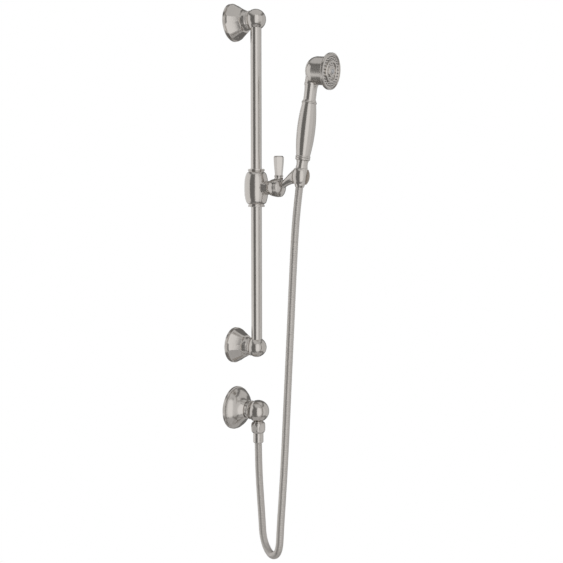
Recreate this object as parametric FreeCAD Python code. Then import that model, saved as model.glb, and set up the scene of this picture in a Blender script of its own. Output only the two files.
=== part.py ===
import FreeCAD, Part
import math
import os
from FreeCAD import Placement, Rotation, Vector

# A wall slide-bar shower set: a round bar on two hexagonal wall brackets, a slider with a
# lever lock, a swivelling holder, a hand shower in the holder, a metal hose and the wall
# outlet that feeds it. Millimetres. +Z is up, the wall is the plane Y = 0, the set stands
# out towards -Y, and the origin is the centre of the upper bracket's wall face.

# ---------------------------------------------------------------- driving dimensions
BAR_SPAN = 600.0            # between the two brackets' centres
BAR_RADIUS = 10.0
BAR_BORE = 8.5
BAR_OUT = 50.8              # bar axis to wall
BAR_END = 5.0               # how far the bar passes each ball's centre

RIM_RADIUS = 33.5           # bracket rim on the wall
RIM_THICK = 4.0
BELL_FLAT = 31.6            # across the bell's flats at its foot, halved
BELL_FOOT = 6.2             # where the facets start
BELL_DEPTH = 28.0           # where the hexagonal bell ends
BALL_RADIUS = 18.4          # bar end balls
PLATE_RADIUS = 25.5         # hidden wall plates
SCREW_SPACING = 36.0        # wall screw holes in each plate
SCREW_HOLE = 2.75

SLIDER_DROP = 303.0         # slider centre below the upper bracket
SLIDER_RADIUS = 21.9
SLIDER_HALF = 29.7
LIP_RADIUS = 15.2
LIP_HALF = 34.6
SLEEVE_RADIUS = 12.0
RUNNING_GAP = 0.05

HUB_BACK = 96.0             # lever hub ring, distances from the wall
HUB_FRONT = 103.5
HUB_RADIUS = 16.9
PIVOT_RADIUS = 5.0
WASHER_THICK = 0.4

LEVER_TOP = 56.8            # above the pivot axis
LEVER_TOP_RADIUS = 9.3      # across corners, halved
LEVER_FOOT_RADIUS = 7.8
LEVER_FOOT = 22.2
LEVER_TURN = 12.0           # where its first corner is, round its own axis, degrees

HANDLE_TILT = 7.62          # the handle leans out from the wall, degrees
HANDLE_OUT = 143.2          # where the hose leaves the handle: distance from the wall
HANDLE_DROP = 303.0         # and below the upper bracket

HEAD_HEIGHT = 203.4         # head axis above the hose's end of the handle
HEAD_RADIUS = 24.0
FACE_RADIUS = 31.0
FACE_OUT = 38.0             # handle axis to the face's rim

OUTLET_DROP = 122.0         # outlet centre below the lower bracket
OUTLET_OUT = 53.6           # outlet ball centre to wall
OUTLET_RADIUS = 20.7
OUTLET_RIM = 40.8

HOSE_RADIUS = 7.0

# ---------------------------------------------------------------- derived places
UP = Vector(0, 0, 1)
OUT = Vector(0, -1, 0)
DOWN = Vector(0, 0, -1)
ACROSS = Vector(1, 0, 0)
BAR_LINE = Vector(0, -BAR_OUT, 0)
SLIDER_CENTRE = Vector(0, -BAR_OUT, -SLIDER_DROP)
PIVOT_WALL = Vector(0, 0, -SLIDER_DROP)
OUTLET_WALL = Vector(0, 0, -BAR_SPAN - OUTLET_DROP)
OUTLET_BALL = OUTLET_WALL + OUT * OUTLET_OUT
HANDLE_FOOT = Vector(0, -HANDLE_OUT, -HANDLE_DROP)
HANDLE = Placement(HANDLE_FOOT, Rotation(ACROSS, HANDLE_TILT))
HANDLE_AXIS = HANDLE.Rotation.multVec(UP)


# ---------------------------------------------------------------- shape helpers
def outline(points):
    """A closed face in the XZ plane. A pair is a straight side to that point, and four
    numbers are an arc through the first pair to the second."""
    at = Vector(points[0][0], 0, points[0][1])
    start = at
    edges = []
    for point in points[1:]:
        end = Vector(point[-2], 0, point[-1])
        if len(point) == 4:
            edges.append(Part.Arc(at, Vector(point[0], 0, point[1]), end).toShape())
        else:
            edges.append(Part.LineSegment(at, end).toShape())
        at = end
    if at.distanceToPoint(start) > 1e-6:
        edges.append(Part.LineSegment(at, start).toShape())
    return Part.Face(Part.Wire(edges))


def turned(points, base=Vector(0, 0, 0), axis=UP):
    """A turned solid. Points are (radius, distance along the axis from base)."""
    solid = outline(points).revolve(Vector(0, 0, 0), UP, 360)
    solid.Placement = Placement(base, Rotation(UP, axis))
    return solid


def rod(radius, start, end, base=Vector(0, 0, 0), axis=UP):
    """A cylinder between two distances along an axis from base."""
    return Part.makeCylinder(radius, end - start, base + axis * start, axis)


def tube(outer, inner, start, end, base=Vector(0, 0, 0), axis=UP):
    """A straight tube between two distances along an axis from base."""
    return rod(outer, start, end, base, axis).cut(rod(inner, start - 1, end + 1, base, axis))


def hexagon(corner_radius, height, first_corner=0.0):
    """A hexagonal outline square to Z at that height."""
    corners = []
    for step in range(7):
        angle = math.radians(first_corner + 60 * step)
        x = corner_radius * math.cos(angle)
        y = corner_radius * math.sin(angle)
        corners.append(Vector(x, y, height))
    return Part.makePolygon(corners)


def on_handle(shape):
    """Moves a shape from the handle's own frame, where Z runs up the handle from the hose
    and -Y is forward, to its place on the set."""
    placed = shape.copy()
    placed.Placement = HANDLE.multiply(placed.Placement)
    return placed


def save(node, shape):
    """Writes one node, after checking that it is made of closed, valid solids."""
    shape = shape.removeSplitter()
    solids = shape.Solids
    if not solids or not shape.isValid():
        raise RuntimeError(f"{node} is not valid")
    for solid in solids:
        if not solid.isClosed() or solid.Volume <= 0:
            raise RuntimeError(f"{node} has an open solid")
    kept = solids[0] if len(solids) == 1 else Part.makeCompound(solids)
    kept.exportStep(f"parts/{node}.step")
    print(f"{node:24s} {len(solids):3d} solid(s) {shape.Volume / 1000:9.3f} cm3")


# ---------------------------------------------------------------- wall brackets
def bell_outer():
    """The bracket's hexagonal bell with corners at +X and -X. Three long bars of the same
    hollow-flared outline, turned 60 degrees apart, meet in it, and a turned outline rounds its
    corners off, fully at the wall and gently towards the front."""
    half = [
        (0, 0),
        (BELL_FLAT, 0),
        (BELL_FLAT, BELL_FOOT),
        (24.6, 17.4, 20.0, BELL_DEPTH - 1.2),
        (18.0, BELL_DEPTH),
        (0, BELL_DEPTH),
    ]
    side = outline(half).extrude(Vector(0, 2.4 * RIM_RADIUS, 0))
    side.translate(Vector(0, -1.2 * RIM_RADIUS, 0))
    bar = side.fuse(side.mirror(Vector(0, 0, 0), ACROSS))
    bell = None
    for step in range(3):
        turn = bar.copy()
        turn.rotate(Vector(0, 0, 0), UP, 30 + 60 * step)
        bell = turn if bell is None else bell.common(turn)
    rounding = turned([
        (0, 0),
        (RIM_RADIUS - 0.9, 0),
        (RIM_RADIUS - 0.9, BELL_FOOT),
        (RIM_RADIUS - 1.6, BELL_FOOT + 2.2),
        (26.3, 17.2, 20.9, BELL_DEPTH - 1.2),
        (18.0, BELL_DEPTH),
        (0, BELL_DEPTH),
    ])
    foot = rod(RIM_RADIUS, 0, RIM_THICK)
    return bell.common(rounding).fuse(foot)


def bracket(name, height):
    """One bracket: bell, hidden wall plate, grub screw, and the ball end that holds the bar."""
    wall = Vector(0, 0, height)
    place = Placement(wall, Rotation(UP, OUT))

    cavity = turned([(0, -1), (26.5, -1), (26.5, 8), (12, 21), (0, 21)])
    bell = bell_outer().cut(cavity).cut(rod(6.6, 20, BELL_DEPTH + 1))
    bell.Placement = place
    grub_line = Vector(0, -13, height)
    grub = rod(2.0, 9.6, 26.0, grub_line, DOWN)
    socket = turned([(0, 23.0), (1.1, 23.0), (1.1, 27.0), (0, 27.0)], grub_line, DOWN)
    save(f"{name}_bell", bell.cut(rod(2.05, 8, 40, grub_line, DOWN)))
    save(f"{name}_grub_screw", grub.cut(socket))

    plate = turned([
        (0, 0),
        (PLATE_RADIUS, 0),
        (PLATE_RADIUS, 3),
        (9.5, 3),
        (9.5, 20.9),
        (0, 20.9),
    ])
    plate = plate.cut(rod(5.05, 6, 30))
    for side in (-1, 1):
        hole = rod(SCREW_HOLE, -1, 4, Vector(side * SCREW_SPACING / 2, 0, 0))
        plate = plate.cut(hole)
    plate.Placement = place
    save(f"{name}_wall_plate", plate)

    ball = BAR_OUT
    neck = turned([
        (0, 7),
        (5, 7),
        (5, 20.95),
        (6.5, 20.95),
        (6.5, BELL_DEPTH),
        (17.5, BELL_DEPTH),
        (16.9, BELL_DEPTH + 1.5),
        (16.5, BELL_DEPTH + 6.5),
        (15.4, BELL_DEPTH + 8.6),
        (16.9, BELL_DEPTH + 10.6, 15.6, BELL_DEPTH + 12.8),
        (15.6, ball - 9.4),
        (0, ball - 9.4),
    ])
    neck.Placement = place
    body = neck.fuse(Part.makeSphere(BALL_RADIUS, wall + OUT * ball))
    toward_bar = UP if height < -1 else DOWN
    bore = rod(BAR_RADIUS + RUNNING_GAP, -BAR_END - 0.3, 30, wall + OUT * ball, toward_bar)
    save(f"{name}_ball_end", body.cut(bore))


bar_top = BAR_END
bar_foot = -BAR_SPAN - BAR_END
os.makedirs("parts", exist_ok=True)
bracket("upper", 0.0)
bracket("lower", -BAR_SPAN)
save("slide_bar", tube(BAR_RADIUS, BAR_BORE, bar_foot, bar_top, BAR_LINE))


# ---------------------------------------------------------------- slider on the bar
def slider_parts():
    """The split nylon sleeve that grips the bar, the barrel that turns round it, its two
    end lips, and the six-sided stem that carries the lever lock and the holder."""
    sleeve_half = SLIDER_HALF - 1.0
    sleeve = tube(SLEEVE_RADIUS, BAR_RADIUS + RUNNING_GAP, -sleeve_half, sleeve_half, SLIDER_CENTRE)
    split = Part.makeBox(2.0, 8, 80, SLIDER_CENTRE + Vector(-1.0, 8, -40))
    save("clamp_sleeve", sleeve.cut(split))

    barrel = turned([
        (SLEEVE_RADIUS + RUNNING_GAP, -SLIDER_HALF),
        (14.6, -SLIDER_HALF),
        (17.5, -27.4),
        (18.8, -25.0),
        (20.6, -18.5, SLIDER_RADIUS - 0.1, -9.0),
        (SLIDER_RADIUS, 0, SLIDER_RADIUS - 0.1, 9.0),
        (20.6, 18.5, 18.8, 25.0),
        (17.5, 27.4),
        (14.6, SLIDER_HALF),
        (SLEEVE_RADIUS + RUNNING_GAP, SLIDER_HALF),
    ], SLIDER_CENTRE)
    stem_hole = rod(9.0, BAR_OUT, 90, PIVOT_WALL, OUT)
    save("slider_barrel", barrel.cut(stem_hole))

    for name, side in (("upper_lip", UP), ("lower_lip", DOWN)):
        lip = turned([
            (BAR_RADIUS + 0.3, sleeve_half + 0.3),
            (SLEEVE_RADIUS, sleeve_half + 0.3),
            (SLEEVE_RADIUS, SLIDER_HALF),
            (LIP_RADIUS - 1.0, SLIDER_HALF),
            (LIP_RADIUS - 1.0, SLIDER_HALF + 1.2),
            (LIP_RADIUS, SLIDER_HALF + 1.8),
            (LIP_RADIUS, LIP_HALF - 0.5),
            (LIP_RADIUS - 0.5, LIP_HALF),
            (BAR_RADIUS + 0.3, LIP_HALF),
        ], SLIDER_CENTRE, side)
        save(name, lip)

    barrel_skin = rod(SLIDER_RADIUS + 0.1, -40, 40, SLIDER_CENTRE)
    stem = turned([
        (0, 62),
        (9.0, 62),
        (9.0, 68),
        (14.4, 68),
        (14.0, 70.5),
        (12.9, 74, 12.4, 80.6),
        (14.8, 86.5, HUB_RADIUS - 0.5, HUB_BACK - WASHER_THICK - 1.2),
        (HUB_RADIUS - 0.5, HUB_BACK - WASHER_THICK),
        (0, HUB_BACK - WASHER_THICK),
    ], PIVOT_WALL, OUT)
    sections = []
    for out, corner in ((68.0, 15.6), (72.5, 13.5), (80.0, 12.9), (88.0, 18.2)):
        sections.append(hexagon(corner, out, 30))
    flats = Part.makeLoft(sections, True, True)
    flats.Placement = Placement(PIVOT_WALL, Rotation(UP, OUT))
    round_ends = rod(20, 50, 68.5, PIVOT_WALL, OUT).fuse(rod(20, 87.5, 100, PIVOT_WALL, OUT))
    stem = stem.common(flats.fuse(round_ends))
    collar = rod(14.4, 60, 69, PIVOT_WALL, OUT).cut(rod(20.9, -40, 40, SLIDER_CENTRE))
    stem = stem.fuse(collar).cut(rod(PIVOT_RADIUS, 60, 110, PIVOT_WALL, OUT))
    stem = stem.cut(rod(SLEEVE_RADIUS + 0.2, -40, 40, SLIDER_CENTRE))
    whole_barrel = barrel.cut(stem_hole)
    save("slider_stem", stem.cut(whole_barrel))

    pad = rod(PIVOT_RADIUS - 0.1, BAR_OUT + SLEEVE_RADIUS - 1.0, 68.8, PIVOT_WALL, OUT)
    save("pressure_pad", pad.cut(rod(SLEEVE_RADIUS + 0.1, -40, 40, SLIDER_CENTRE)))
    bolt = turned([
        (0, 69),
        (PIVOT_RADIUS - 0.02, 69),
        (PIVOT_RADIUS - 0.02, 104.6),
        (PIVOT_RADIUS - 0.8, 104.6),
        (PIVOT_RADIUS - 0.8, 105.8),
        (PIVOT_RADIUS - 0.02, 105.8),
        (PIVOT_RADIUS - 0.6, 109.0),
        (0, 109.0),
    ], PIVOT_WALL, OUT)
    save("pivot_bolt", bolt)
    clip = tube(7.4, PIVOT_RADIUS - 0.75, 104.7, 105.7, PIVOT_WALL, OUT)
    gap = Part.makeBox(5, 3, 12, Vector(-2.5, -106.5, -SLIDER_DROP))
    save("pivot_clip", clip.cut(gap))
    rear = tube(14.0, PIVOT_RADIUS + 0.1, HUB_BACK - WASHER_THICK, HUB_BACK - 0.05, PIVOT_WALL, OUT)
    save("rear_washer", rear)


slider_parts()


# ---------------------------------------------------------------- lever lock
def lever_parts():
    """The hub ring that turns on the pivot bolt, the coned collar on top of it, and the
    upright tapered hexagonal lever."""
    hub = turned([
        (PIVOT_RADIUS + RUNNING_GAP, HUB_BACK),
        (HUB_RADIUS - 0.7, HUB_BACK),
        (HUB_RADIUS, HUB_BACK + 0.7),
        (HUB_RADIUS, HUB_FRONT - 0.7),
        (HUB_RADIUS - 0.7, HUB_FRONT),
        (PIVOT_RADIUS + RUNNING_GAP, HUB_FRONT),
    ], PIVOT_WALL, OUT)
    middle = (HUB_BACK + HUB_FRONT) / 2
    lever_line = PIVOT_WALL + OUT * middle
    hub = hub.cut(rod(2.5, 10, 20, lever_line))
    save("lever_hub", hub)

    collar = turned([
        (0, 14),
        (3.6, 14),
        (3.6, 15.0),
        (LEVER_FOOT_RADIUS + 0.6, 15.0),
        (LEVER_FOOT_RADIUS - 0.4, 18.0),
        (LEVER_FOOT_RADIUS - 0.4, 19.4),
        (LEVER_FOOT_RADIUS + 0.3, 20.6, LEVER_FOOT_RADIUS - 0.2, LEVER_FOOT),
        (0, LEVER_FOOT),
    ], lever_line)
    collar = collar.cut(rod(2.5, 10, 30, lever_line))
    save("lever_collar", collar.cut(rod(HUB_RADIUS, 85, 115, PIVOT_WALL, OUT)))

    sections = []
    for height, corner in ((LEVER_FOOT, 7.1), (27.0, 7.4), (34.0, 8.1), (41.0, 8.8), (50.0, LEVER_TOP_RADIUS)):
        sections.append(hexagon(corner, height, LEVER_TURN))
    shank = Part.makeLoft(sections, True, False)
    sections = []
    for height, corner in ((50.0, LEVER_TOP_RADIUS), (54.4, LEVER_TOP_RADIUS), (LEVER_TOP, 7.6)):
        sections.append(hexagon(corner, height, LEVER_TURN))
    crown = Part.makeLoft(sections, True, True)
    lever = shank.fuse(crown)
    lever.translate(lever_line)
    save("lever_handle", lever.fuse(rod(2.45, 12.5, 24, lever_line)))


lever_parts()


# ---------------------------------------------------------------- holder: joint, arm, cradle
NUT_FOOT_RADIUS = 9.0        # the hose's coned nut, which sits in the cradle
NUT_TOP_RADIUS = 10.9
NUT_TOP = 33.0
CRADLE_FOOT = 5.5
CRADLE_TOP = 32.5
CRADLE_RADIUS = 16.2
SLOT_WIDTH = 20.0
LINER_THICK = 1.2


def nut_radius(height):
    """The coned nut's radius at that height up the handle."""
    share = height / NUT_TOP
    return NUT_FOOT_RADIUS + (NUT_TOP_RADIUS - NUT_FOOT_RADIUS) * share


def cradle_cone(extra):
    """A cone that fits round the hose nut with that much to spare, in the handle's frame."""
    low, high = -10.0, 50.0
    return Part.makeCone(nut_radius(low) + extra, nut_radius(high) + extra, high - low, Vector(0, 0, low))


def holder_parts():
    """The front half of the ball-like joint and its washer, the cradle with its liner, both open
    at the front, and the flared arm lofted between joint and cradle."""
    front_face = HUB_FRONT + WASHER_THICK
    dome = turned([
        (0, front_face),
        (HUB_RADIUS - 0.5, front_face),
        (HUB_RADIUS - 0.9, front_face + 0.6),
        (12.6, front_face + 3.4, 5.0, front_face + 7.0),
        (0, front_face + 7.0),
    ], PIVOT_WALL, OUT)
    bore = rod(PIVOT_RADIUS + RUNNING_GAP, 90, 109.5, PIVOT_WALL, OUT)
    pocket = rod(8.0, 90, 106.2, PIVOT_WALL, OUT)
    save("joint_front", dome.cut(bore).cut(pocket))
    front = tube(14.0, 8.2, HUB_FRONT + 0.05, front_face, PIVOT_WALL, OUT)
    save("front_washer", front)

    slot = Part.makeBox(SLOT_WIDTH, 40, 60, Vector(-SLOT_WIDTH / 2, -40, -10))
    cup_outer = turned([
        (0, CRADLE_FOOT),
        (12.4, CRADLE_FOOT),
        (CRADLE_RADIUS, 17.0, 12.9, CRADLE_TOP),
        (0, CRADLE_TOP),
    ])
    band = rod(30, CRADLE_FOOT + 1, CRADLE_TOP - 1)
    liner = cradle_cone(0.15 + LINER_THICK).common(band)
    liner = liner.cut(cradle_cone(0.15)).cut(slot)
    cup = cup_outer.cut(cradle_cone(0.15 + LINER_THICK)).cut(slot)
    save("cradle", on_handle(cup))
    save("cradle_liner", on_handle(liner))

    sections = []
    places = [
        (105.0, -300.5, 6.2, 6.2, 32),
        (116.0, -293.6, 6.3, 6.8, 30),
        (125.0, -288.0, 6.6, 9.4, 20),
        (134.5, -283.6, 8.0, 13.6, 4),
    ]
    for out, height, half_width, half_height, rise in places:
        oval = Part.Ellipse(Vector(0, 0, 0), half_height, half_width)
        wire = Part.Wire(oval.toShape())
        upright = Rotation(Vector(0, 1, 0), -90)
        facing = Rotation(UP, -90)
        lean = Rotation(ACROSS, -rise)
        wire.Placement = Placement(Vector(0, -out, height), lean.multiply(facing.multiply(upright)))
        sections.append(wire)
    arm = Part.makeLoft(sections, True, False)
    solid_dome = dome.fuse(rod(HUB_RADIUS, 90, front_face + 0.5, PIVOT_WALL, OUT))
    nut_way = rod(NUT_TOP_RADIUS + 1.0, -20, NUT_TOP + 50)
    arm = arm.cut(solid_dome).cut(on_handle(cup_outer)).cut(on_handle(nut_way))
    save("holder_arm", arm.Solids[0])


holder_parts()


# ---------------------------------------------------------------- hose ends at the handle
def hose_top_parts():
    """The hose's coned nut, and the swaged tail and washer inside it."""
    nut = turned([
        (0, 0),
        (NUT_FOOT_RADIUS - 1.4, 0),
        (NUT_FOOT_RADIUS, 3.6),
        (NUT_TOP_RADIUS, NUT_TOP),
        (NUT_TOP_RADIUS - 0.5, NUT_TOP + 1.0),
        (0, NUT_TOP + 1.0),
    ])
    nut = nut.cut(rod(6.2, -1, 15.5)).cut(rod(9.5, 15.5, 40))
    save("hose_cone_nut", on_handle(nut))
    tail = turned([
        (3.2, 0.1),
        (5.9, 0.1),
        (5.9, 15.6),
        (8.6, 15.6),
        (8.6, 18.2),
        (3.2, 18.2),
    ])
    save("upper_hose_tail", on_handle(tail))
    washer = tube(9.0, 3.6, 18.2, 20.4)
    save("upper_hose_washer", on_handle(washer))


hose_top_parts()


# ---------------------------------------------------------------- hand shower
LOWER_COLLAR = (47.8, 55.8)
UPPER_COLLAR = (146.4, 152.5)
GRIP_RADIUS = 16.15
NECK_RADIUS = 10.9
SPIGOT_RADIUS = 8.0
HEAD = Vector(0, 0, HEAD_HEIGHT)


def handle_parts():
    """The handle from the inlet up: inlet neck and its strainer, the turned grip between two
    beaded collars, the neck tube, and the water tube inside."""
    inlet = turned([
        (0, 20.8),
        (9.3, 20.8),
        (9.4, NUT_TOP + 1.3),
        (10.9, NUT_TOP + 1.3),
        (9.9, 40.5, 11.2, LOWER_COLLAR[0]),
        (SPIGOT_RADIUS, LOWER_COLLAR[0]),
        (SPIGOT_RADIUS, 62.0),
        (0, 62.0),
    ])
    inlet = inlet.cut(rod(6.0, 15, 27.0)).cut(rod(4.2, 15, 70))
    save("inlet_neck", on_handle(inlet))
    mesh = tube(5.9, 2.2, 22.0, 26.0)
    save("inlet_filter", on_handle(mesh))

    low, high = LOWER_COLLAR
    collar = turned([
        (SPIGOT_RADIUS + RUNNING_GAP, low),
        (11.6, low),
        (13.2, low + 2.2, 12.5, low + 4.4),
        (13.3, low + 6.2, 12.5, high),
        (SPIGOT_RADIUS + RUNNING_GAP, high),
    ])
    save("lower_collar", on_handle(collar))

    low, high = LOWER_COLLAR[1], UPPER_COLLAR[0]
    grip = turned([
        (SPIGOT_RADIUS + RUNNING_GAP, low),
        (12.3, low),
        (GRIP_RADIUS, 101.5, 12.4, high),
        (SPIGOT_RADIUS + RUNNING_GAP, high),
    ])
    hollow = turned([(0, 63), (9, 63), (13.6, 101.5, 9, 137), (0, 137)])
    save("grip", on_handle(grip.cut(hollow)))

    low, high = UPPER_COLLAR
    collar = turned([
        (SPIGOT_RADIUS + RUNNING_GAP, low),
        (12.6, low),
        (13.4, low + 1.6, 12.5, low + 3.2),
        (11.6, high),
        (SPIGOT_RADIUS + RUNNING_GAP, high),
    ])
    save("upper_collar", on_handle(collar))

    neck = turned([
        (SPIGOT_RADIUS, 136.5),
        (SPIGOT_RADIUS, UPPER_COLLAR[1]),
        (NECK_RADIUS, UPPER_COLLAR[1]),
        (NECK_RADIUS, 168.0),
        (11.1, 173.0, 11.6, 177.5),
        (SPIGOT_RADIUS, 177.5),
        (SPIGOT_RADIUS, 186.0),
        (6.2, 186.0),
        (6.2, 136.5),
    ])
    save("neck_tube", on_handle(neck))
    water = tube(5.4, 4.0, 62.2, 185.0)
    save("water_tube", on_handle(water))


def head_parts():
    """The head is turned about its own axis, square to the handle. Distances run forward from
    the handle's axis."""
    head = turned([
        (0, -11.2),
        (1.0, -11.2),
        (8.0, -10.06, 15.0, -6.81),
        (20.5, -1.6, HEAD_RADIUS, 8.8),
        (HEAD_RADIUS, 27.4),
        (0, 27.4),
    ], HEAD, OUT)
    outer = head.fuse(rod(11.6, 187.0, HEAD_HEIGHT))
    hollow = turned([(0, -4.0), (12, -1.5), (19.5, 9.0), (21.2, 16.0), (21.2, 40), (0, 40)], HEAD, OUT)
    shell = outer.cut(hollow).cut(rod(SPIGOT_RADIUS + RUNNING_GAP, 170, 190))
    save("head_shell", on_handle(shell))

    collar = turned([
        (SPIGOT_RADIUS + RUNNING_GAP, 177.5),
        (12.0, 177.5),
        (12.4, 178.6),
        (12.4, 180.6),
        (11.8, 183.0),
        (11.8, 187.5),
        (SPIGOT_RADIUS + RUNNING_GAP, 187.5),
    ])
    save("head_collar", on_handle(collar.cut(outer)))

    union = turned([
        (18.0, 24.5),
        (21.15, 24.5),
        (21.15, 27.5),
        (23.4, 27.5),
        (23.4, 28.4),
        (21.0, 28.4),
        (21.0, 33.0),
        (18.0, 33.0),
    ], HEAD, OUT)
    save("union_ring", on_handle(union))

    flange = turned([
        (21.05, 28.5),
        (24.6, 28.5),
        (25.7, 30.2, 28.6, 31.0),
        (FACE_RADIUS - 0.6, 31.6),
        (FACE_RADIUS, 32.8),
        (FACE_RADIUS, 36.0),
        (30.9, 37.6, 29.6, FACE_OUT),
        (28.6, 37.2),
        (28.6, 33.6),
        (21.05, 33.6),
    ], HEAD, OUT)
    save("face_flange", on_handle(flange))

    seal = Part.makeTorus(19.5, 1.1, HEAD + OUT * 34.2, OUT)
    save("face_seal", on_handle(seal))
    diffuser = rod(17.8, 26.0, 28.0, HEAD, OUT)
    for step in range(12):
        angle = math.radians(30 * step)
        hole_at = HEAD + ACROSS * (12 * math.cos(angle)) + UP * (12 * math.sin(angle))
        diffuser = diffuser.cut(rod(1.6, 20, 30, hole_at, OUT))
    diffuser = diffuser.cut(rod(2.1, 20, 30, HEAD, OUT))
    save("flow_diffuser", on_handle(diffuser))


NOZZLE_RINGS = ((24.6, 28), (20.9, 22), (13.2, 14))
NOZZLE_RADIUS = 0.85


def face_parts():
    """The spray plate with its silicone nozzles, and the ring, boss and screw that hold it."""
    plate = turned([
        (0, 35.4),
        (27.2, 35.4),
        (27.2, 33.65),
        (28.5, 33.65),
        (28.5, 36.6),
        (27.2, 36.6),
        (26.8, 36.0),
        (19.2, 36.0),
        (19.2, 36.6),
        (0, 36.6),
    ], HEAD, OUT)
    nozzles = []
    for radius, count in NOZZLE_RINGS:
        for step in range(count):
            angle = 2 * math.pi * step / count
            at = HEAD + ACROSS * (radius * math.cos(angle)) + UP * (radius * math.sin(angle))
            plate = plate.cut(rod(NOZZLE_RADIUS, 30, 45, at, OUT))
            nozzles.append(rod(NOZZLE_RADIUS - 0.02, 35.5, 37.3, at, OUT))
    plate = plate.cut(rod(2.1, 20, 40, HEAD, OUT))
    save("spray_plate", on_handle(plate))
    save("spray_nozzles", on_handle(Part.makeCompound(nozzles)))

    trim = turned([
        (15.2, 36.6),
        (18.9, 36.6),
        (18.9, 37.3),
        (17.2, 38.6, 15.2, 37.6),
    ], HEAD, OUT)
    save("inner_trim_ring", on_handle(trim))
    boss = turned([
        (2.05, 36.6),
        (10.4, 36.6),
        (10.4, 37.4),
        (9.4, 38.4),
        (6.6, 38.4),
        (5.8, 39.2),
        (2.05, 39.2),
    ], HEAD, OUT)
    save("centre_boss", on_handle(boss))
    screw = turned([
        (0, 25.0),
        (2.0, 25.0),
        (2.0, 39.2),
        (4.2, 39.2),
        (3.4, 40.4, 1.0, 41.0),
        (0, 41.0),
    ], HEAD, OUT)
    save("face_screw", on_handle(screw))


handle_parts()
head_parts()
face_parts()


# ---------------------------------------------------------------- wall outlet
HOSE_NUT = (21.9, 40.6)      # below the outlet ball's centre
FERRULE = (40.6, 60.4)


def outlet_parts():
    """The hollow wall flange, the ball-ended outlet body with its non-return valve and nipple,
    and the hose's lower nut, washer, tail and ferrule."""
    flange = turned([
        (16.0, 0),
        (OUTLET_RIM, 0),
        (OUTLET_RIM, 3.6),
        (OUTLET_RIM - 2.0, 4.6),
        (OUTLET_RIM - 2.0, 5.6),
        (OUTLET_RIM - 1.4, 7.0, OUTLET_RIM - 2.6, 8.6),
        (34.2, 14.2, 27.0, 20.0),
        (20.6, 25.6, 17.4, 30.0),
        (16.0, 30.0),
    ], OUTLET_WALL, OUT)
    hollow = turned([(0, -1), (38, -1), (38, 3), (30, 11), (20, 19), (16.5, 21), (0, 21)], OUTLET_WALL, OUT)
    save("outlet_flange", flange.cut(hollow))

    ball = OUTLET_OUT
    body = turned([
        (0, 0.5),
        (13.0, 0.5),
        (13.0, 22.0),
        (15.6, 22.0),
        (15.6, ball - 18.0),
        (17.6, ball - 16.2, 15.8, ball - 14.4),
        (15.8, ball - 11.0),
        (0, ball - 11.0),
    ], OUTLET_WALL, OUT)
    body = body.fuse(Part.makeSphere(OUTLET_RADIUS, OUTLET_BALL))
    body = body.cut(rod(9.3, -1, 16.5, OUTLET_WALL, OUT)).cut(rod(6.0, 10, ball, OUTLET_WALL, OUT))
    body = body.cut(rod(6.0, 0, 30, OUTLET_BALL, DOWN)).cut(rod(7.5, 9.0, 30, OUTLET_BALL, DOWN))
    body = body.cut(rod(14, 20.45, 30, OUTLET_BALL, DOWN))
    save("outlet_body", body)

    valve = turned([(2.5, 9.4), (7.3, 9.4), (7.3, 18.0), (4.5, 18.0), (4.5, 15.0), (2.5, 15.0)], OUTLET_BALL, DOWN)
    save("check_valve", valve)
    nipple = turned([
        (5.2, 18.1),
        (7.45, 18.1),
        (7.45, 21.0),
        (9.9, 21.0),
        (9.9, 33.0),
        (5.2, 33.0),
    ], OUTLET_BALL, DOWN)
    save("outlet_nipple", nipple)

    low, high = HOSE_NUT
    bulge = turned([
        (0, low),
        (11.6, low),
        (13.2, low + 3.0),
        (14.1, (low + high) / 2, 13.4, high - 3.0),
        (11.4, high),
        (0, high),
    ], OUTLET_BALL, DOWN)
    flats = Part.Face(hexagon(14.9, 0, 30)).extrude(Vector(0, 0, 40))
    flats.Placement = Placement(OUTLET_BALL + DOWN * 50, Rotation())
    nut = bulge.common(flats)
    nut = nut.cut(rod(10.0, 0, 36.6, OUTLET_BALL, DOWN)).cut(rod(6.6, 0, 60, OUTLET_BALL, DOWN))
    save("hose_hex_nut", nut)
    washer = tube(9.4, 4.2, 33.0, 35.0, OUTLET_BALL, DOWN)
    save("lower_hose_washer", washer)
    tail = turned([
        (3.2, 35.0),
        (9.3, 35.0),
        (9.3, 36.5),
        (6.4, 36.5),
        (6.4, 60.3),
        (3.2, 60.3),
    ], OUTLET_BALL, DOWN)
    save("lower_hose_tail", tail)
    low, high = FERRULE
    ferrule = turned([
        (6.45, low),
        (9.2, low),
        (9.75, low + 0.9),
        (9.75, high - 1.4),
        (9.0, high),
        (6.45, high),
    ], OUTLET_BALL, DOWN)
    save("hose_ferrule", ferrule)


outlet_parts()


# ---------------------------------------------------------------- hose
def hose_route():
    """The hose hangs from the outlet, folds at the bottom a little out of the bar's plane, and
    rises to the handle. Points are chosen by hand."""
    start = OUTLET_BALL + DOWN * FERRULE[1]
    end = HANDLE_FOOT
    return [
        start,
        Vector(0, -54.1, -822.0),
        Vector(0, -56.6, -868.0),
        Vector(0, -61.2, -925.0),
        Vector(0, -64.1, -972.3),
        Vector(-17.0, -93.0, -991.7),
        Vector(-34.0, -121.9, -972.3),
        Vector(-34.5, -124.9, -920.0),
        Vector(-32.0, -127.9, -860.0),
        Vector(-26.0, -128.8, -790.0),
        Vector(-18.5, -128.2, -715.0),
        Vector(-10.5, -127.3, -635.0),
        Vector(-4.0, -127.4, -560.0),
        Vector(-1.0, -128.8, -490.0),
        Vector(0, -131.4, -430.0),
        Vector(0, -134.4, -380.0),
        end - HANDLE_AXIS * 36.0,
        end,
    ]


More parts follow.
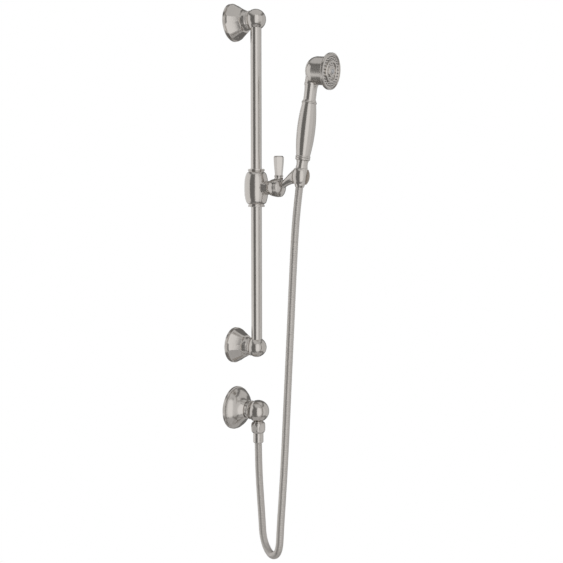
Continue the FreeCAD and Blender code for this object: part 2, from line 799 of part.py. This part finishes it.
def hose_path(points):
    """Straight runs joined by arcs that touch them. Each arc's radius is 0.45 of its shorter
    run over the tangent of half its turn."""
    edges = []
    radii = []
    at = points[0]
    for before, corner, after in zip(points, points[1:], points[2:]):
        back = (before - corner).normalize()
        ahead = (after - corner).normalize()
        half_turn = (math.pi - back.getAngle(ahead)) / 2
        shorter = min(before.distanceToPoint(corner), after.distanceToPoint(corner))
        reach = 0.45 * shorter
        radius = reach / math.tan(half_turn)
        radii.append(radius)
        first = corner + back * reach
        last = corner + ahead * reach
        middle = (back + ahead).normalize()
        top = corner + middle * (math.hypot(radius, reach) - radius)
        edges.append(Part.LineSegment(at, first).toShape())
        edges.append(Part.Arc(first, top, last).toShape())
        at = last
    edges.append(Part.LineSegment(at, points[-1]).toShape())
    return Part.Wire(edges), radii


def hose():
    """One solid swept along the hose's whole route, from the lower tail to the handle's nut."""
    points = hose_route()
    path, radii = hose_path(points)
    direction = points[1] - points[0]
    circle = Part.Wire(Part.Circle(points[0], direction, HOSE_RADIUS).toShape())
    pipe = path.makePipeShell([circle], True, False)
    expected = math.pi * HOSE_RADIUS ** 2 * path.Length
    print("hose length", round(path.Length, 1), "volume share", round(pipe.Volume / expected, 4))
    print("hose radii", [round(radius) for radius in radii])
    save("hose_tube", pipe)


hose()
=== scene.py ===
import bpy
import math
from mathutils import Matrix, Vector


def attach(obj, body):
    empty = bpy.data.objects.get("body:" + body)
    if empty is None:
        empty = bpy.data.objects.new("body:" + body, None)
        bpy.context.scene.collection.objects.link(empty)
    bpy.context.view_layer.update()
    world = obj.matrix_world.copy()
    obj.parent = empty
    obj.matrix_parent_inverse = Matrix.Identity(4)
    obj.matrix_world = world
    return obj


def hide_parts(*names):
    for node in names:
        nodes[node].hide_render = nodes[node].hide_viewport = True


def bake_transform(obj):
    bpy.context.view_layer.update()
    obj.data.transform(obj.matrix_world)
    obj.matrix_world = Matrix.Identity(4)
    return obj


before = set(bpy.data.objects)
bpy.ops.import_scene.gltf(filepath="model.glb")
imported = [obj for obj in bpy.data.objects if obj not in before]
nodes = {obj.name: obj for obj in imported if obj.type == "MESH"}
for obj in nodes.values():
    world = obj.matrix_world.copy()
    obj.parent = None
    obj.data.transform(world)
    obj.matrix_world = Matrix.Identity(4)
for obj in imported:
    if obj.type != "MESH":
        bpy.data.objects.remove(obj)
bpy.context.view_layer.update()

bpy.ops.object.select_all(action="DESELECT")
scene = bpy.context.scene

# ------------------------------------------------------------------ the studio
# The camera looks at the set from the front left, at about the height of the handset. A small
# pale floor lies under it. Large soft panels stand round the set and light all of it alike,
# with an unlit gap at the left front that draws a dark streak along the metal. The room's air is
# dim to the metal and white to the camera.
CAMERA_TURN = -57.95
camera_data = bpy.data.cameras.new("camera")
camera_data.lens = 49.82
camera_data.sensor_width = 36.0
camera = bpy.data.objects.new("camera", camera_data)
camera.location = (-1.2023, -0.8583, -0.3439)
camera.rotation_euler = (math.radians(84.78), 0, math.radians(CAMERA_TURN))
scene.collection.objects.link(camera)
scene.camera = camera
scene.view_settings.view_transform = "Standard"

STUDIO_CENTRE = Vector((0.03, -0.09, -0.45))
TOWARDS_CAMERA = math.radians(CAMERA_TURN - 90)
PANEL_DISTANCE = 2.6


def softbox(name, bearing, rise, width, height, brightness):
    """A soft panel aimed at the set. Bearing is in degrees to the right of the camera, rise is in
    degrees above the set, and brightness is what a mirror would see."""
    turn = TOWARDS_CAMERA + math.radians(bearing)
    lift = math.radians(rise)
    level = math.cos(lift)
    away = Vector((math.cos(turn) * level, math.sin(turn) * level, math.sin(lift)))
    light = bpy.data.lights.new(name, "AREA")
    light.shape = "RECTANGLE"
    light.size = width
    light.size_y = height
    light.energy = brightness * math.pi * width * height
    panel = bpy.data.objects.new(name, light)
    panel.location = STUDIO_CENTRE + away * PANEL_DISTANCE
    panel.rotation_euler = away.to_track_quat("Z", "Y").to_euler()
    panel.visible_camera = False
    scene.collection.objects.link(panel)


softbox("front_panel", 9, 0, 2.0, 5.2, 0.84)
softbox("left_rear_panel", -113, 0, 5.6, 4.6, 0.66)
softbox("right_panel", 56, 0, 2.5, 4.4, 0.56)
softbox("right_rear_panel", 114, 0, 3.2, 4.4, 0.46)
softbox("top_panel", 12, 84, 4.0, 4.0, 0.46)

world = bpy.data.worlds.new("studio_air")
scene.world = world
world.use_nodes = True
air = world.node_tree.nodes
room = air["Background"]
room.inputs["Color"].default_value = (0.19, 0.187, 0.182, 1)
backdrop = air.new("ShaderNodeBackground")
backdrop.inputs["Color"].default_value = (1, 1, 1, 1)
choose = air.new("ShaderNodeMixShader")
seen = air.new("ShaderNodeLightPath")
wires = world.node_tree.links
wires.new(seen.outputs["Is Camera Ray"], choose.inputs["Fac"])
wires.new(room.outputs["Background"], choose.inputs[1])
wires.new(backdrop.outputs["Background"], choose.inputs[2])
wires.new(choose.outputs["Shader"], air["World Output"].inputs["Surface"])

bpy.ops.mesh.primitive_plane_add(size=1.3, location=(0.0, -0.1, -1.5))
floor = bpy.context.active_object
floor.name = "studio_floor"
bpy.ops.object.transform_apply(location=True)
floor_paint = bpy.data.materials.new("studio_floor_paint")
floor_paint.use_nodes = True
floor_shader = floor_paint.node_tree.nodes["Principled BSDF"]
floor_shader.inputs["Base Color"].default_value = (0.9, 0.9, 0.9, 1)
floor_shader.inputs["Roughness"].default_value = 0.9
floor.data.materials.append(floor_paint)

# ------------------------------------------------------------------ the hose
# A strip-wound steel hose, plated to match: a ribbed tube that hangs from the outlet, folds
# at the bottom and rises to the handset. It is a wound steel strip over a rubber liner.
HOSE_ROUTE = [
    (0, -0.0536, -0.7824),
    (0, -0.0541, -0.8220),
    (0, -0.0566, -0.8680),
    (0, -0.0612, -0.9250),
    (0, -0.0641, -0.9723),
    (-0.0170, -0.0930, -0.9917),
    (-0.0340, -0.1219, -0.9723),
    (-0.0345, -0.1249, -0.9200),
    (-0.0320, -0.1279, -0.8600),
    (-0.0260, -0.1288, -0.7900),
    (-0.0185, -0.1282, -0.7150),
    (-0.0105, -0.1273, -0.6350),
    (-0.0040, -0.1274, -0.5600),
    (-0.0010, -0.1288, -0.4900),
    (0, -0.1314, -0.4300),
    (0, -0.1344, -0.3800),
    (0, -0.1384, -0.3387),
    (0, -0.1432, -0.3030),
]


def smooth_line(points):
    """The points that a hanging hose follows, read from a smooth spline with these controls."""
    curve = bpy.data.curves.new("hose_line", "CURVE")
    curve.dimensions = "3D"
    curve.resolution_u = 40
    spline = curve.splines.new("NURBS")
    spline.points.add(len(points) - 1)
    for control, place in zip(spline.points, points):
        control.co = (*place, 1)
    spline.order_u = 3
    spline.use_endpoint_u = True
    holder = bpy.data.objects.new("hose_line", curve)
    mesh = bpy.data.meshes.new_from_object(holder)
    line = [vertex.co.copy() for vertex in mesh.vertices]
    bpy.data.objects.remove(holder)
    bpy.data.curves.remove(curve)
    bpy.data.meshes.remove(mesh)
    return line


def walk(line, step):
    """Places and directions at even steps along the line."""
    places = []
    directions = []
    travelled = 0.0
    wanted = 0.0
    for start, end in zip(line, line[1:]):
        run = (end - start).length
        while wanted <= travelled + run and run > 0:
            share = (wanted - travelled) / run
            places.append(start.lerp(end, share))
            directions.append((end - start).normalized())
            wanted += step
        travelled += run
    return places, directions


RIB_PITCH = 0.0032
RIB_SHAPE = (0.0061, 0.0069, 0.0070, 0.0069)
HOSE_SIDES = 20


def ribbed_tube(name, places, directions, first_rib):
    """A closed tube whose radius follows the wound strip's ribs."""
    across = directions[0].orthogonal().normalized()
    points = []
    faces = []
    for index, (place, ahead) in enumerate(zip(places, directions)):
        across = (across - ahead * across.dot(ahead)).normalized()
        side = ahead.cross(across)
        radius = RIB_SHAPE[(first_rib + index) % len(RIB_SHAPE)]
        for corner in range(HOSE_SIDES):
            angle = 2 * math.pi * corner / HOSE_SIDES
            points.append(place + (across * math.cos(angle) + side * math.sin(angle)) * radius)
    for ring in range(len(places) - 1):
        for corner in range(HOSE_SIDES):
            here = ring * HOSE_SIDES + corner
            beside = ring * HOSE_SIDES + (corner + 1) % HOSE_SIDES
            faces.append((here, beside, beside + HOSE_SIDES, here + HOSE_SIDES))
    faces.append(tuple(reversed(range(HOSE_SIDES))))
    last = (len(places) - 1) * HOSE_SIDES
    faces.append(tuple(range(last, last + HOSE_SIDES)))
    mesh = bpy.data.meshes.new(name)
    mesh.from_pydata(points, [], faces)
    mesh.shade_smooth()
    piece = bpy.data.objects.new(name, mesh)
    scene.collection.objects.link(piece)
    return piece


def metal(name, colour, roughness, grain=(400, 400, 400), mottling=0.03, relief_depth=0.000004):
    """A plated or bare metal. Fine grain, stretched along the way it was rubbed, varies its
    tone and shine, and broad faint clouds keep it from looking sprayed."""
    paint = bpy.data.materials.new(name)
    paint.use_nodes = True
    tree = paint.node_tree
    shader = tree.nodes["Principled BSDF"]
    shader.inputs["Metallic"].default_value = 1.0
    where = tree.nodes.new("ShaderNodeTexCoord")
    stretch = tree.nodes.new("ShaderNodeMapping")
    stretch.inputs["Scale"].default_value = grain
    scratches = tree.nodes.new("ShaderNodeTexNoise")
    scratches.inputs["Scale"].default_value = 14.0
    scratches.inputs["Detail"].default_value = 3.0
    clouds = tree.nodes.new("ShaderNodeTexNoise")
    clouds.inputs["Scale"].default_value = 35.0
    clouds.inputs["Detail"].default_value = 2.0
    both = tree.nodes.new("ShaderNodeMix")
    both.inputs["Factor"].default_value = 0.4
    tone = tree.nodes.new("ShaderNodeValToRGB")
    dark = [channel * (1 - mottling) for channel in colour]
    light = [channel * (1 + mottling) for channel in colour]
    tone.color_ramp.elements[0].position = 0.35
    tone.color_ramp.elements[0].color = (*dark, 1)
    tone.color_ramp.elements[1].position = 0.65
    tone.color_ramp.elements[1].color = (*light, 1)
    shine = tree.nodes.new("ShaderNodeMapRange")
    shine.inputs["To Min"].default_value = roughness - 0.03
    shine.inputs["To Max"].default_value = roughness + 0.03
    relief = tree.nodes.new("ShaderNodeBump")
    relief.inputs["Strength"].default_value = 0.15
    relief.inputs["Distance"].default_value = relief_depth
    join = tree.links.new
    join(where.outputs["Object"], stretch.inputs["Vector"])
    join(where.outputs["Object"], clouds.inputs["Vector"])
    join(stretch.outputs["Vector"], scratches.inputs["Vector"])
    join(scratches.outputs["Fac"], both.inputs["A"])
    join(clouds.outputs["Fac"], both.inputs["B"])
    join(both.outputs["Result"], tone.inputs["Fac"])
    join(tone.outputs["Color"], shader.inputs["Base Color"])
    join(both.outputs["Result"], shine.inputs["Value"])
    join(shine.outputs["Result"], shader.inputs["Roughness"])
    join(scratches.outputs["Fac"], relief.inputs["Height"])
    join(relief.outputs["Normal"], shader.inputs["Normal"])
    return paint


NICKEL = (0.62, 0.59, 0.56)
hose_metal = metal("hose_strip_nickel", NICKEL, 0.42)
hose_line = smooth_line(HOSE_ROUTE)
ring_places, ring_directions = walk(hose_line, RIB_PITCH / len(RIB_SHAPE))
low = min(range(len(ring_places)), key=lambda index: ring_places[index].z)


def ring_at(height, leg):
    """The ring on that leg at that height."""
    return min(leg, key=lambda index: abs(ring_places[index].z - height))


falling = range(low)
rising = range(low, len(ring_places))

# Each stretch is listed with its first and last ring, its first and second body, and a pair of
# heights where it would follow them.
# The heights are set so that, when the slider travels, the fold would move a share of the way,
# unbent, and both legs would take up the rest; the fold's pair lies far apart, so that all of it
# would move by nearly the same share.
# The loop below reads only the rings and builds each stretch as a fixed tube; the bodies and
# heights are not used.
DROP_TOP = -0.785
FOLD_TOP = -0.925
FOLD_SHARE = 0.25
RISE_TOP = -0.600
MIDDLE_TOP = -0.500
UPPER_TOP = -0.400
CUP_ENTRY = -0.320
FAR = 10.0
drop_end = DROP_TOP + (FOLD_TOP - DROP_TOP) / FOLD_SHARE
rise_start = FOLD_TOP - (RISE_TOP - FOLD_TOP) * FOLD_SHARE / (1 - FOLD_SHARE)
fold_span = (FOLD_TOP + FAR * FOLD_SHARE, FOLD_TOP - FAR * (1 - FOLD_SHARE))
fold_start = ring_at(FOLD_TOP, falling)
fold_end = ring_at(FOLD_TOP, rising)
middle_start = ring_at(RISE_TOP, rising)
upper_start = ring_at(MIDDLE_TOP, rising)
top_start = ring_at(UPPER_TOP, rising)
STRETCHES = [
    ("hose_drop", 0, fold_start, "wall_set", "sleeve", (DROP_TOP, drop_end)),
    ("hose_fold", fold_start, fold_end, "wall_set", "sleeve", fold_span),
    ("hose_rise", fold_end, middle_start, "wall_set", "sleeve", (rise_start, RISE_TOP)),
    ("hose_middle", middle_start, upper_start, "sleeve", "slider", (RISE_TOP, MIDDLE_TOP)),
    ("hose_upper", upper_start, top_start, "slider", "holder", (MIDDLE_TOP, UPPER_TOP)),
    ("hose_top", top_start, len(ring_places) - 1, "holder", "hose_end", (UPPER_TOP, CUP_ENTRY)),
]
for name, first, last, before, after, heights in STRETCHES:
    places = ring_places[first:last + 1]
    stretch = ribbed_tube(name, places, ring_directions[first:last + 1], first)
    stretch.data.materials.append(hose_metal)
    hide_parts("hose_tube")
    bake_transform(stretch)

# ------------------------------------------------------------------ the wall brackets
# Two cast brass brackets, each a six-sided bell on a round foot, with a ringed neck and a ball
# that takes the end of the bar. They are plated in satin nickel. Inside each, a steel plate is
# screwed to the wall and a grub screw from below locks the bell on it.
satin_nickel = metal("satin_nickel", NICKEL, 0.20)
plain_steel = metal("plain_steel", (0.50, 0.50, 0.51), 0.32, grain=(60, 60, 900))


def finish(names, paint):
    """Gives CAD pieces their material."""
    for name in names:
        piece = nodes[name]
        piece.data.materials.clear()
        piece.data.materials.append(paint)


for bracket in ("upper", "lower"):
    finish([f"{bracket}_bell", f"{bracket}_ball_end"], satin_nickel)
    finish([f"{bracket}_wall_plate", f"{bracket}_grub_screw"], plain_steel)

# ------------------------------------------------------------------ the slide bar
# A drawn steel tube, rubbed lengthwise and plated, so its grain is stretched along its height.
# Its two ends are pushed into the brackets' balls.
drawn_nickel = metal("drawn_nickel", NICKEL, 0.20, grain=(600, 600, 30))
finish(["slide_bar"], drawn_nickel)

# ------------------------------------------------------------------ the wall outlet
# A spun brass flange with an ogee, and a cast elbow with a ball end that turns the water down
# into the hose. A nipple, plated because its shoulder shows, and a non-return valve are screwed
# in from below.
bare_brass = metal("bare_brass", (0.66, 0.47, 0.22), 0.30, grain=(60, 60, 900))


def moulded(name, colour, roughness, pore=900.0, depth=0.00003):
    """A moulded plastic or rubber, with faint clouds in its tone and a fine pored skin."""
    paint = bpy.data.materials.new(name)
    paint.use_nodes = True
    tree = paint.node_tree
    shader = tree.nodes["Principled BSDF"]
    shader.inputs["Roughness"].default_value = roughness
    where = tree.nodes.new("ShaderNodeTexCoord")
    clouds = tree.nodes.new("ShaderNodeTexNoise")
    clouds.inputs["Scale"].default_value = 60.0
    pores = tree.nodes.new("ShaderNodeTexNoise")
    pores.inputs["Scale"].default_value = pore
    tone = tree.nodes.new("ShaderNodeValToRGB")
    tone.color_ramp.elements[0].position = 0.3
    tone.color_ramp.elements[0].color = (*[channel * 0.9 for channel in colour], 1)
    tone.color_ramp.elements[1].position = 0.7
    tone.color_ramp.elements[1].color = (*[channel * 1.08 for channel in colour], 1)
    skin = tree.nodes.new("ShaderNodeBump")
    skin.inputs["Strength"].default_value = 0.3
    skin.inputs["Distance"].default_value = depth
    join = tree.links.new
    join(where.outputs["Object"], clouds.inputs["Vector"])
    join(where.outputs["Object"], pores.inputs["Vector"])
    join(clouds.outputs["Fac"], tone.inputs["Fac"])
    join(tone.outputs["Color"], shader.inputs["Base Color"])
    join(pores.outputs["Fac"], skin.inputs["Height"])
    join(skin.outputs["Normal"], shader.inputs["Normal"])
    return paint


black_rubber = moulded("black_rubber", (0.02, 0.02, 0.02), 0.7)
dark_acetal = moulded("dark_acetal", (0.03, 0.03, 0.032), 0.45)
finish(["outlet_flange", "outlet_body", "outlet_nipple"], satin_nickel)
finish(["check_valve"], dark_acetal)

# ------------------------------------------------------------------ the hose's lower fitting
# A six-sided plated nut with rounded corners holds the hose's swaged brass tail against a rubber
# washer. A plated sleeve is crimped over the end of the hose below it.
finish(["hose_hex_nut", "hose_ferrule"], satin_nickel)
finish(["lower_hose_tail"], bare_brass)
finish(["lower_hose_washer"], black_rubber)

# ------------------------------------------------------------------ the slider
# A bulged brass barrel with a rolled lip at each end, and a six-sided stem. Inside, a split
# nylon sleeve grips the bar, and a pad presses on it. A steel bolt through the stem carries the
# lever and the holder.
white_nylon = moulded("white_nylon", (0.72, 0.71, 0.68), 0.5)
finish(["slider_barrel", "upper_lip", "lower_lip", "slider_stem"], satin_nickel)
finish(["clamp_sleeve", "rear_washer"], white_nylon)
finish(["pressure_pad"], dark_acetal)
finish(["pivot_bolt", "pivot_clip"], plain_steel)

# ------------------------------------------------------------------ the lever
# A ring that turns on the bolt, a coned collar that sits on it, and a tapered six-sided lever
# whose pin passes through the collar into the ring. All are brass, plated to match.
finish(["lever_hub", "lever_collar", "lever_handle"], satin_nickel)

# ------------------------------------------------------------------ the holder
# The front half of the ball-like joint, a flared arm, and an open cup that the hose's coned nut
# drops into. The cup is brazed to the arm, plated with it, and lined with dark plastic.
finish(["joint_front", "holder_arm", "cradle"], satin_nickel)
finish(["cradle_liner"], dark_acetal)
finish(["front_washer"], white_nylon)

# ------------------------------------------------------------------ the hose's upper fitting
# A plated nut with a long cone that sits in the cup and screws on the handset's inlet. The
# hose's brass tail turns in it against a rubber washer.
finish(["hose_cone_nut"], satin_nickel)
finish(["upper_hose_tail"], bare_brass)
finish(["upper_hose_washer"], black_rubber)

# ------------------------------------------------------------------ the handle
# Turned brass: an inlet neck, a swelling hollow grip between two beaded collars, and a neck
# tube. A nylon tube inside carries the water, and a steel strainer sits in the inlet.
finish(["inlet_neck", "lower_collar", "grip", "upper_collar", "neck_tube"], satin_nickel)
finish(["water_tube"], white_nylon)
finish(["inlet_filter"], plain_steel)

# ------------------------------------------------------------------ the head
# A spun brass barrel with a domed back, joined to the neck by a collar. A ring screws the
# flared rim of the face on to it, over a rubber seal and a plastic plate that spreads the water.
finish(["head_shell", "head_collar", "union_ring", "face_flange"], satin_nickel)
finish(["face_seal"], black_rubber)
finish(["flow_diffuser"], dark_acetal)

# ------------------------------------------------------------------ the spray face
# A stepped brass plate held by one screw through a round boss, with a raised trim ring. Soft
# silicone nozzles stand through it in three rings, each a short cone with an open tip.
finish(["spray_plate", "inner_trim_ring", "centre_boss"], satin_nickel)
finish(["face_screw"], plain_steel)
grey_silicone = moulded("grey_silicone", (0.16, 0.158, 0.152), 0.55)
NOZZLE_RINGS = ((0.0246, 28), (0.0209, 22), (0.0132, 14))
NOZZLE_FOOT = 0.0355
NOZZLE_TIP = 0.0373
NOZZLE_RADIUS = 0.00083
NOZZLE_MOUTH = 0.0004
MOUTH_DEPTH = 0.0006
TIP_RADIUS = NOZZLE_RADIUS * 0.8
HANDLE_FOOT = Vector((0, -0.1432, -0.303))
HANDLE_TILT = math.radians(7.62)
HEAD_HEIGHT = 0.2034
handle_up = Vector((0, -math.sin(HANDLE_TILT), math.cos(HANDLE_TILT)))
face_out = Vector((0, -math.cos(HANDLE_TILT), -math.sin(HANDLE_TILT)))
head_centre = HANDLE_FOOT + handle_up * HEAD_HEIGHT
nozzle_middle = (NOZZLE_FOOT + NOZZLE_TIP) / 2

bpy.ops.object.select_all(action="DESELECT")
bpy.ops.mesh.primitive_cone_add(vertices=12, radius1=NOZZLE_RADIUS, radius2=TIP_RADIUS,
                                depth=NOZZLE_TIP - NOZZLE_FOOT)
nozzle = bpy.context.active_object
bpy.ops.object.mode_set(mode="EDIT")
bpy.ops.mesh.select_all(action="DESELECT")
bpy.ops.object.mode_set(mode="OBJECT")
for face in nozzle.data.polygons:
    face.select = face.normal.z > 0.9
bpy.ops.object.mode_set(mode="EDIT")
bpy.ops.mesh.select_mode(type="FACE")
bpy.ops.mesh.inset(thickness=TIP_RADIUS - NOZZLE_MOUTH, use_select_inset=False)
bpy.ops.mesh.extrude_region_move(TRANSFORM_OT_translate={"value": (0, 0, -MOUTH_DEPTH)})
bpy.ops.object.mode_set(mode="OBJECT")
bpy.ops.object.shade_smooth_by_angle(angle=math.radians(40))

facing = face_out.to_track_quat("Z", "Y")
copies = []
for radius, count in NOZZLE_RINGS:
    for step in range(count):
        angle = 2 * math.pi * step / count
        across = Vector((1, 0, 0)) * math.cos(angle) + handle_up * math.sin(angle)
        copy = nozzle.copy()
        copy.data = nozzle.data.copy()
        copy.rotation_mode = "QUATERNION"
        copy.rotation_quaternion = facing
        copy.location = head_centre + across * radius + face_out * nozzle_middle
        scene.collection.objects.link(copy)
        copies.append(copy)
bpy.data.objects.remove(nozzle)
bpy.ops.object.select_all(action="DESELECT")
for copy in copies:
    copy.select_set(True)
bpy.context.view_layer.objects.active = copies[0]
bpy.ops.object.join()
nozzles = bpy.context.active_object
nozzles.name = "silicone_nozzles"
bpy.ops.object.transform_apply(location=True, rotation=True, scale=True)
nozzles.data.materials.append(grey_silicone)
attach(nozzles, "handset")
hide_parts("spray_nozzles")
